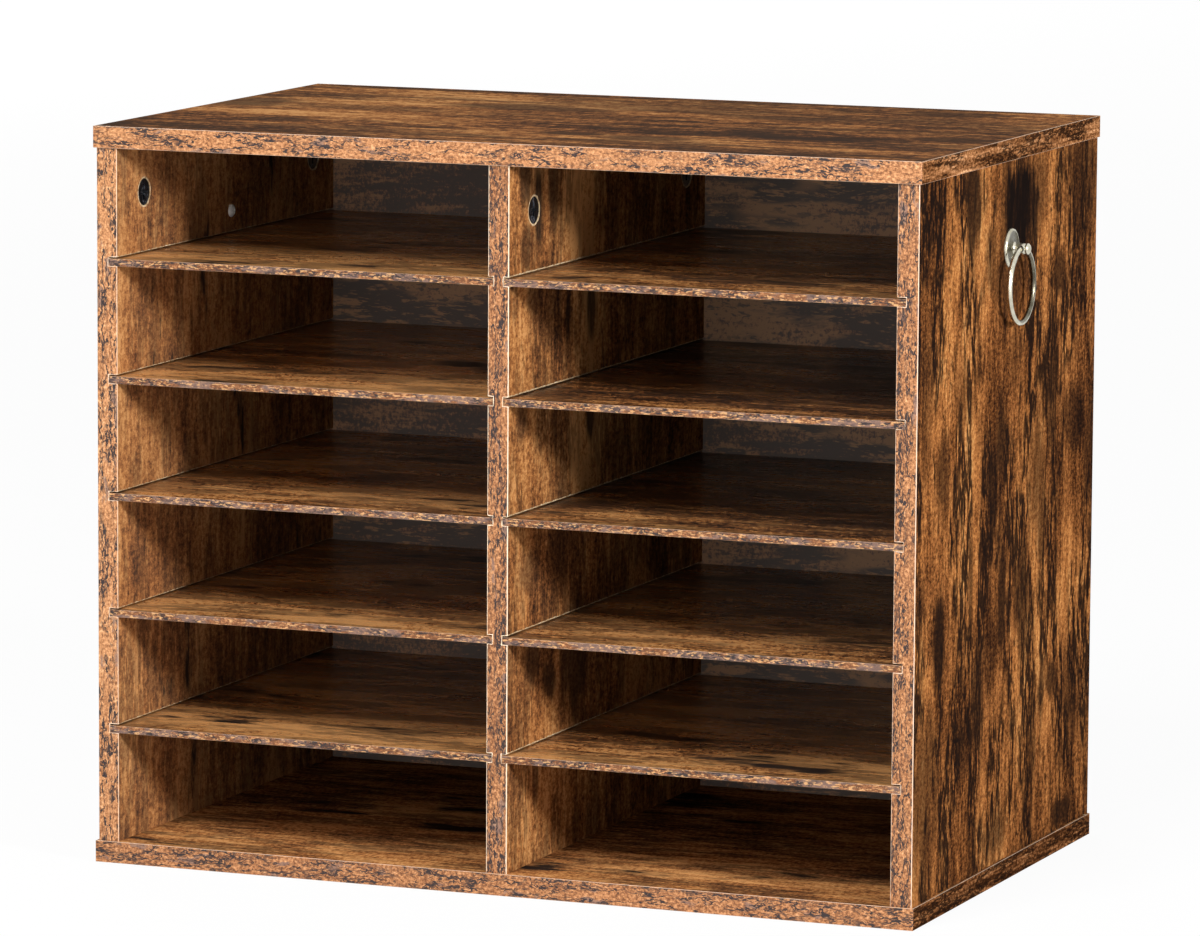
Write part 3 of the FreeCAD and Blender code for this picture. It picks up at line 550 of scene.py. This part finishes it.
# Distance from the nearest groove's section, a rectangle that is repeated upwards.
groove_group, w, given, result = new_group(
    "groove lip",
    {"Vector": "Vector", "Middle": "Float", "Half": "Float", "Width": "Float"},
    {"Mask": "Float"},
)
across, upwards = w.part(given["Vector"], 0), w.part(given["Vector"], 2)
from_first = w.math("DIVIDE", w.math("SUBTRACT", upwards, lowest_groove), groove_pitch)
number = w.math("MINIMUM", w.math("MAXIMUM", w.math("ROUND", from_first), 0.0), grooves - 1)
rise = w.times(w.math("SUBTRACT", from_first, number), groove_pitch)
beyond = w.math("MAXIMUM", w.math("SUBTRACT", w.math("ABSOLUTE", rise), groove_height / 2), 0.0)
aside = w.math("ABSOLUTE", w.math("SUBTRACT", across, given["Middle"]))
aside = w.math("MAXIMUM", w.math("SUBTRACT", aside, given["Half"]), 0.0)
gap = w.vector("LENGTH", w.put("ShaderNodeCombineXYZ", {"X": aside, "Y": beyond}), out=1)
frayed = w.swing(w.noise(given["Vector"], (300, 300, 300), 3, 0.6), 1.6 * mm)
w.join(w.math("LESS_THAN", w.add(gap, frayed), given["Width"]), result["Mask"])

# A chipped rim: raw board round the bores of the cam locks, which lie alike in front and behind.
rim_group, w, given, result = new_group(
    "chipped bore rim",
    {"Vector": "Vector", "Reach": "Float", "Height": "Float", "Radius": "Float"},
    {"Mask": "Float"},
)
rim_width = 0.9 * mm
forth, upwards = w.part(given["Vector"], 1), w.part(given["Vector"], 2)
sockets = {
    "X": w.math("SUBTRACT", w.math("ABSOLUTE", forth), given["Reach"]),
    "Y": w.math("SUBTRACT", upwards, given["Height"]),
}
from_axis = w.vector("LENGTH", w.put("ShaderNodeCombineXYZ", sockets), out=1)
frayed = w.swing(w.noise(given["Vector"], (260, 260, 260), 3, 0.6), 1.8 * mm)
edge = w.math("SUBTRACT", w.math("SUBTRACT", from_axis, given["Radius"]), frayed)
w.join(w.math("LESS_THAN", edge, rim_width), result["Mask"])

cam_low, cam_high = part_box("left_side_cam_locks")
cam_play = 0.1 * mm
bore_radius = (cam_high.z - cam_low.z) / 2 + cam_play
bore_height = (cam_high.z + cam_low.z) / 2
bore_reach = cam_high.y - bore_radius


def rims(w, coords, face):
    """The raw rims of the bores that open in the face at this X. They go no deeper than the print."""
    sockets = {"Vector": coords, "Reach": bore_reach, "Height": bore_height, "Radius": bore_radius}
    rim = w.group(rim_group, sockets)["Mask"]
    from_face = w.math("ABSOLUTE", w.math("SUBTRACT", w.part(coords, 0), face))
    near = w.math("LESS_THAN", from_face, mm)
    return w.times(rim, near)


def lips_and_rims(middle, half, face):
    """The raw places of an upright whose grooves have this middle and half depth along X."""

    def chips(w, coords):
        sockets = {"Vector": coords, "Middle": middle, "Half": half, "Width": board_lip}
        lip = w.group(groove_group, sockets)["Mask"]
        return w.math("MAXIMUM", lip, rims(w, coords, face))

    return chips


def lips(middle, half):
    """The raw places of a front band round the mouths of the grooves."""
    sockets = {"Middle": middle, "Half": half, "Width": band_lip}
    return lambda w, coords: w.group(groove_group, {"Vector": coords, **sockets})["Mask"]


side_groove_depth = 5.2 * mm
half_groove = side_groove_depth / 2
left_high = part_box("left_side_panel")[1]
right_low, right_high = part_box("right_side_panel")
right_spots = [
    (85, 30, 11, 28, 0.9), (165, 38, 30, 30, 1.0), (150, 66, 26, 34, 0.7), (196, 34, 14, 22, 0.6),
    (118, 62, 8, 18, 0.6), (42, 175, 10, 24, 0.7), (137, 163, 8, 26, 0.8), (124, 190, 10, 24, 0.8),
    (232, 82, 12, 10, 0.8), (224, 132, 7, 34, 0.75), (201, 186, 12, 30, 0.65), (208, 218, 8, 24, 0.7),
    (142, 254, 9, 30, 0.85), (124, 281, 14, 20, 0.5), (102, 298, 10, 28, 0.75), (84, 320, 12, 20, 0.5),
    (20, 342, 20, 46, 0.65), (38, 262, 9, 26, 0.9), (230, 308, 11, 9, 0.8), (266, 326, 15, 22, 0.6),
    (176, 250, 12, 34, 0.75), (134, 380, 16, 14, 0.7), (250, 388, 18, 8, 0.8), (262, 166, 20, 18, 0.6),
    (224, 158, 8, 22, 0.65), (291, 190, 8, 40, 0.6), (272, 34, 26, 30, 0.7), (90, 236, 3, 30, 0.7),
    (15, 128, 9, 34, 0.5), (70, 132, 12, 16, 0.4), (158, 120, 10, 18, 0.4), (196, 340, 7, 26, 0.6),
]
right_clearings = [
    (184, 316, 34, 52, 0.5), (60, 84, 28, 46, 0.9), (106, 64, 14, 60, 1.0), (130, 226, 8, 24, 0.8),
    (112, 345, 10, 60, 0.5), (255, 140, 22, 26, 0.6), (262, 262, 24, 30, 0.5), (226, 44, 14, 30, 0.9),
    (84, 200, 14, 60, 0.6),
]
left_middle, right_middle = left_high.x - half_groove, right_low.x + half_groove
# Made a little darker as painted shade.
printed_board(
    "right side panel",
    "right_side_panel",
    grain_along_z,
    (0.52, 0.91, 0.14),
    0,
    right_spots,
    right_clearings,
    ((right_high.x, right_low.y, top_high.z), (0, 1, 0), (0, 0, -1)),
    chips=lips_and_rims(right_middle, half_groove, right_low.x),
    painted_light=-0.15,
    cracked=1.05,
    contrast=0.94,
)
# Its inner face is made much lighter than its outer one as painted light, and both are greyed as a
# painted sheen.
printed_board(
    "left side panel",
    "left_side_panel",
    grain_along_z,
    (2.21, 0.35, 0.77),
    0,
    chips=lips_and_rims(left_middle, half_groove, left_high.x),
    painted_light=(-0.1, 1.5),
    painted_sheen=0.13,
    cracked=(1.1, 0.5),
    calm=(0.0, 0.6),
    contrast=1.15,
)
# The right band is made darker than the left one, as painted shade.
for side, middle, seed, painted_shade, line in (
    ("left", left_middle, 3.1, 0.03, 0.2 * mm),
    ("right", right_middle, 4.1, 0.3, 0.34 * mm),
):
    node = f"{side}_side_front_band"
    mouths = lips(middle, half_groove)
    edge_band(node, grain_along_z, (seed, 0.2, 0.3), (0,), line, painted_shade, mouths=mouths)


# Centre divider. The upright between the two columns, grooved on both faces. Its right front
# edge carries the palest line on the whole piece, a painted highlight over the trimmed band.

divider_groove_depth = 3.2 * mm
divider_lip = 0.55 * mm
divider_low, divider_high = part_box("centre_divider")
web = divider_high.x - divider_groove_depth


def divider_lips(w, coords, width=band_lip):
    """The raw places round the grooves on both sides of the divider."""
    masks = []
    for side in (-1, 1):
        middle = side * (divider_high.x + web) / 2
        sockets = {"Vector": coords, "Middle": middle, "Half": divider_groove_depth / 2, "Width": width}
        masks.append(w.group(groove_group, sockets)["Mask"])
    return w.math("MAXIMUM", *masks)


def divider_chips(w, coords):
    return w.math("MAXIMUM", divider_lips(w, coords, divider_lip), rims(w, coords, divider_high.x))


divider_spots = [
    (22, 20, 8, 16, 0.8), (40, 36, 6, 20, 0.9), (62, 30, 8, 26, 0.8), (24, 60, 7, 12, 0.7),
    (84, 100, 4, 16, 0.9), (118, 96, 7, 18, 0.9), (36, 86, 10, 10, 0.6), (116, 160, 6, 14, 0.9),
    (66, 156, 4, 20, 0.7), (20, 152, 8, 14, 0.7), (30, 236, 14, 12, 0.6), (74, 220, 14, 30, 0.7),
    (34, 286, 12, 14, 0.7), (60, 300, 9, 10, 0.8), (96, 290, 20, 30, 0.8), (40, 350, 4, 16, 0.6),
]
# The first three pale places, at the front of the upper three right bays, are pale print and painted
# light.
divider_pale_print_and_painted_light = [
    (100, 44, 34, 34, 2.6), (114, 108, 26, 30, 2.2), (112, 172, 30, 32, 2.2), (36, 28, 20, 18, 0.8),
]
# Made lighter as painted light and greyed a little as a painted sheen.
printed_board(
    "centre divider",
    "centre_divider",
    grain_along_z,
    (4.4, 0.18, 0.55),
    0,
    divider_spots,
    divider_pale_print_and_painted_light,
    ((divider_high.x, divider_low.y, top_high.z), (0, 1, 0), (0, 0, -1)),
    chips=divider_chips,
    painted_light=1.0,
    painted_sheen=0.05,
    cracked=0.6,
    contrast=1.15,
)
# Its band is made darker as painted shade, and its wide, very pale trimmed line is mostly a painted
# highlight.
edge_band(
    "centre_divider_front_band",
    grain_along_z,
    (6.3, 0.6, 0.2),
    (0,),
    0.42 * mm,
    painted_shade=0.36,
    pale=tone(240, 218, 190),
    mouths=divider_lips,
)


# Back panel. Thin hardboard in the slots of the boards round it, printed on the side that shows
# inside the bays and bare, brown and matt behind.

material, w, shader, coords = new_material("back panel")
upright_sheet_along_x = (-math.pi / 2, 0, 0)
sockets = {
    "Vector": turned(w, coords, upright_sheet_along_x, (5.2, 0.3, 0.9)),
    "Stain": 0.0,
    "Clear": 1.7,
    "Calm": 0.5,
    "Cracked": 1.3,
    "Contrast": 3.4,
}
wood = w.group(print_group, sockets)
print_side = w.mix(0.33, wood["Color"], tone(200, 180, 168))
fluff = w.noise(coords, (300, 300, 300), 5, 0.7)
specks = w.smooth(w.noise(coords, (700, 700, 700), 2), 0.60, 0.72)
bare = w.ramp(w.add(0.5, w.swing(fluff, 1.4)), [tone(92, 66, 44), tone(120, 88, 60), tone(150, 114, 80)])
bare = w.mix(w.times(specks, 0.5), bare, tone(70, 48, 32))
printed_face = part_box("back_panel")[0].y
behind = w.math("GREATER_THAN", w.part(coords, 1), printed_face + print_depth)
w.join(w.mix(behind, print_side, bare), shader.inputs["Base Color"])
w.join(w.add(w.times(behind, 0.25), 0.5), shader.inputs["Roughness"])
shader.inputs["Specular IOR Level"].default_value = 0.3
bump(w, fluff, 0.03 * mm, shader)
paint(material, "back_panel")


# Shelves. Ten thin printed boards, each with a band on its front edge, that slide in the grooves
# and come right out. Their grain runs from side to side.

# The shelves are greyed a little as a painted sheen, and their tops are lit and shaded by painted light,
# the left ones much lighter than the right. Their bands are made darker as painted shade.
shelf_look = {"painted_sheen": 0.03, "sheen": 0.27, "rough": 0.26, "cracked": 0.7, "contrast": 2.0}
for column, first, painted_lights in (
    ("left", 0, (4.0, 3.2, 2.9, 2.6, 3.6)),
    ("right", 5, (1.6, -0.7, -0.2, 1.4, 2.8)),
):
    for row, painted_light in enumerate(painted_lights, 1):
        node = f"{column}_shelf_{row}"
        shift = (0.7 + 1.3 * (first + row), 0.21 * row + 0.5 * first, 0.4)
        printed_board(node, node, grain_along_x, shift, 2, painted_light=painted_light, **shelf_look)
        shift = (9.1 + 0.9 * (first + row), 0.5, 0.7)
        edge_band(f"{node}_front_band", grain_along_x, shift, (2,), 0.05 * mm, 0.78, grey=0.7)


# Cam locks. Black die-cast zinc drums, a little below the face, with a driver's cross. Each one
# turns on the head of its bolt and pulls the top board down.

material, w, shader, coords = new_material("black cam lock")
cast = w.noise(coords, (900, 900, 900), 3)
# Pale flecks on the black lock, painted as glints: painted highlights.
painted_glints = w.smooth(w.noise(coords, (260, 260, 260), 2), 0.50, 0.80)
w.join(w.mix(painted_glints, tone(18, 18, 21), tone(96, 98, 104)), shader.inputs["Base Color"])
w.join(w.add(w.times(cast, 0.2), 0.12), shader.inputs["Roughness"])
bump(w, cast, 0.02 * mm, shader)
paint(material, "left_side_cam_locks", "centre_divider_cam_locks", "right_side_cam_locks")


# Bolts and screws. Zinc-plated steel with faint turning marks: the cam bolts stand in the top
# board, countersunk screws hold the bottom board, and a pan-head screw holds each ring pull.

material, w, shader, coords = new_material("zinc-plated steel")
dull = w.noise(coords, (240, 240, 240), 4)
marks = w.noise(coords, (2600, 2600, 300), 2)
zinc = w.mix(w.smooth(dull, 0.4, 0.7), tone(252, 251, 248), tone(222, 220, 214))
w.join(zinc, shader.inputs["Base Color"])
w.join(w.add(0.24, w.swing(dull, 0.2), w.swing(marks, 0.2)), shader.inputs["Roughness"])
shader.inputs["Metallic"].default_value = 0.1
bump(w, marks, 0.01 * mm, shader)
paint(material, "cam_bolts", "bottom_screws", "left_pull_screw", "right_pull_screw")


# Wooden dowels. Six plain beech pegs, a third of each in the top board and the rest in the
# upright below it. They keep the boards in line while the cam locks draw them together.

material, w, shader, coords = new_material("beech dowel")
place = turned(w, coords, grain_along_z, (0, 0, 0))
pores = w.noise(place, (120, 1500, 1500), 4, 0.6)
flakes = w.smooth(w.noise(place, (500, 1500, 1500), 2), 0.60, 0.68)
beech = [tone(196, 158, 112), tone(216, 182, 136), tone(230, 200, 158)]
colour = w.ramp(w.add(0.5, w.swing(pores, 1.5)), beech)
colour = w.mix(w.times(flakes, 0.5), colour, tone(170, 124, 82))
w.join(colour, shader.inputs["Base Color"])
w.join(w.add(w.times(pores, 0.2), 0.5), shader.inputs["Roughness"])
bump(w, pores, 0.03 * mm, shader)
paint(material, "wooden_dowels")


# Ring pulls. A domed plate, a turned post with a bored eye and a hanging ring, cast and plated in
# antique nickel, worn. The plates' faces and the rings' inner sides are darkened as painted shade,
# and the plates' rims and the rings' outer sides are bright as painted highlights.


def closed_grid(name, points):
    """A smooth mesh through a grid of points whose rows and columns both close round."""
    rows, columns = points.shape[:2]
    row, column = np.arange(rows)[:, None], np.arange(columns)[None, :]
    next_row, next_column = (row + 1) % rows, (column + 1) % columns
    corners = [
        row * columns + column,
        next_row * columns + column,
        next_row * columns + next_column,
        row * columns + next_column,
    ]
    faces = np.stack(np.broadcast_arrays(*corners), axis=-1).reshape(-1, 4)
    mesh = bpy.data.meshes.new(name)
    mesh.from_pydata(points.reshape(-1, 3).tolist(), [], faces.tolist())
    mesh.polygons.foreach_set("use_smooth", np.ones(len(faces), dtype=bool))
    mesh.update()
    piece = bpy.data.objects.new(name, mesh)
    bpy.context.scene.collection.objects.link(piece)
    return piece


def nickel(name, height, highlight_radius):
    """
    Worn nickel, darkened within this distance from a line along X at this height as painted shade,
    and bright beyond it as a painted highlight. A distance of zero leaves it bright all over.
    """
    material, w, shader, coords = new_material(name)
    wear = w.noise(coords, (60, 60, 60), 2)
    grime = w.noise(coords, (300, 300, 300), 2)
    sockets = {"X": w.part(coords, 1), "Y": w.math("SUBTRACT", w.part(coords, 2), height)}
    from_axis = w.vector("LENGTH", w.put("ShaderNodeCombineXYZ", sockets), out=1)
    # Painted shade within the distance and a painted highlight beyond it.
    painted_highlight = w.smooth(from_axis, highlight_radius - 1.2 * mm, highlight_radius)
    worn = w.smooth(w.add(wear, w.swing(grime, 0.5)), 0.25, 0.75)
    shaded_nickel = w.mix(worn, tone(84, 79, 66), tone(132, 127, 110))
    highlit_nickel = w.mix(worn, tone(184, 178, 156), tone(226, 221, 202))
    w.join(w.mix(painted_highlight, shaded_nickel, highlit_nickel), shader.inputs["Base Color"])
    w.join(w.add(0.27, w.swing(grime, 0.2)), shader.inputs["Roughness"])
    shader.inputs["Metallic"].default_value = 1.0
    bump(w, wear, 0.04 * mm, shader)
    return material


def pull_ring(side, material):
    """
    The ring, a torus that stands upright beside the panel: its wire is a circle whose centre goes
    once round a larger circle in the plane across X.
    """
    low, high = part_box(f"{side}_pull_ring")
    centre = (low + high) / 2
    wire = (high.x - low.x) / 2
    radius = (high.z - low.z) / 2 - wire
    steps_around, steps_across = 160, 40
    around = np.linspace(0, 2 * np.pi, steps_around, endpoint=False)[:, None]
    across = np.linspace(0, 2 * np.pi, steps_across, endpoint=False)[None, :]
    reach = radius + wire * np.cos(across)
    points = np.stack(
        [
            centre.x + wire * np.sin(across) + 0 * around,
            centre.y + reach * np.sin(around),
            centre.z + reach * np.cos(around),
        ],
        axis=-1,
    )
    piece = closed_grid(f"{side}_ring_smooth", points)
    piece.data.materials.append(material)
    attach(piece, f"{side}_pull_ring")
    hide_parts(f"{side}_pull_ring")


plate_low, plate_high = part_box("right_pull_plate")
plate_height, plate_radius = (plate_low.z + plate_high.z) / 2, (plate_high.z - plate_low.z) / 2
ring_low, ring_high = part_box("right_pull_ring")
ring_height = (ring_low.z + ring_high.z) / 2
ring_radius = (ring_high.z - ring_low.z) / 2 - (ring_high.x - ring_low.x) / 2
plate_rim, wire_outside = 0.8 * mm, 0.5 * mm
plate_nickel = nickel("nickel of the plates", plate_height, plate_radius - plate_rim)
post_nickel = nickel("nickel of the posts", plate_height, 0.0)
ring_nickel = nickel("nickel of the rings", ring_height, ring_radius + wire_outside)
for side in ("left", "right"):
    paint(plate_nickel, f"{side}_pull_plate")
    paint(post_nickel, f"{side}_pull_post")
    paint(ring_nickel, f"{side}_pull_ring")
    pull_ring(side, ring_nickel)


# Floor: a plain white sweep under and behind the object. To the camera and to what mirrors it, it
# is mostly white by itself, so that it keeps only a soft shadow.

floor_half = 60
mesh = bpy.data.meshes.new("floor")
corners = [(x * floor_half, y * floor_half, 0) for x, y in ((-1, -1), (1, -1), (1, 1), (-1, 1))]
mesh.from_pydata(corners, [], [(0, 1, 2, 3)])
floor = bpy.data.objects.new("floor", mesh)
floor.location.z = -0.1 * mm
bpy.context.scene.collection.objects.link(floor)
material, w, shader, coords = new_material("white floor")
paths = w.tree.nodes.new("ShaderNodeLightPath").outputs
seen = w.add(paths["Is Camera Ray"], paths["Is Glossy Ray"], paths["Is Transmission Ray"])
own_white = 0.94
glow = w.times(w.math("MINIMUM", seen, 1.0), own_white)
tint = w.noise(coords, (3, 3, 3), 2)
w.join(w.mix(tint, tone(236, 236, 236), tone(240, 240, 240)), shader.inputs["Base Color"])
shader.inputs["Roughness"].default_value = 0.9
shader.inputs["Specular IOR Level"].default_value = 0.0
white = w.put("ShaderNodeEmission", {"Color": (1, 1, 1, 1), "Strength": 1.0})
both = w.put("ShaderNodeMixShader", {0: glow, 1: shader.outputs[0], 2: white})
w.join(both, w.tree.nodes["Material Output"].inputs["Surface"])
mesh.materials.append(material)


# Light: a small bright lamp low on the right that draws the shadows, a broad weak one in front, a
# high one in front and a soft one behind, in a pale surround that the camera sees nearly white.


object_middle = Vector((0, 0, 0.2))


def lamp(name, place, size, power):
    """A square soft lamp, in metres and watts, that faces the middle of the object."""
    data = bpy.data.lights.new(name, "AREA")
    data.size = size
    data.energy = power
    light = bpy.data.objects.new(name, data)
    light.location = place
    aim = object_middle - light.location
    light.rotation_euler = aim.to_track_quat("-Z", "Y").to_euler()
    bpy.context.scene.collection.objects.link(light)


lamp("key_lamp", (2.77, -1.18, 0.95), 0.35, 86)
lamp("front_lamp", (0.3, -3.4, 0.75), 2.0, 30)
lamp("upper_lamp", (-0.3, -2.4, 2.42), 1.2, 88)
lamp("rear_lamp", (-4.5, 6.2, 2.0), 3.0, 280)
light_level, seen_level = 0.2, 0.97
world = bpy.data.worlds.new("surround")
world.use_nodes = True
surround = Wiring(world.node_tree)
paths = world.node_tree.nodes.new("ShaderNodeLightPath").outputs
seen = surround.add(paths["Is Camera Ray"], paths["Is Glossy Ray"], paths["Is Transmission Ray"])
seen = surround.math("MINIMUM", seen, 1.0)
strength = surround.add(surround.times(seen, seen_level - light_level), light_level)
sky = world.node_tree.nodes["Background"]
sky.inputs["Color"].default_value = (1, 1, 1, 1)
surround.join(strength, sky.inputs["Strength"])
bpy.context.scene.world = world
bpy.context.scene.view_settings.view_transform = "Standard"
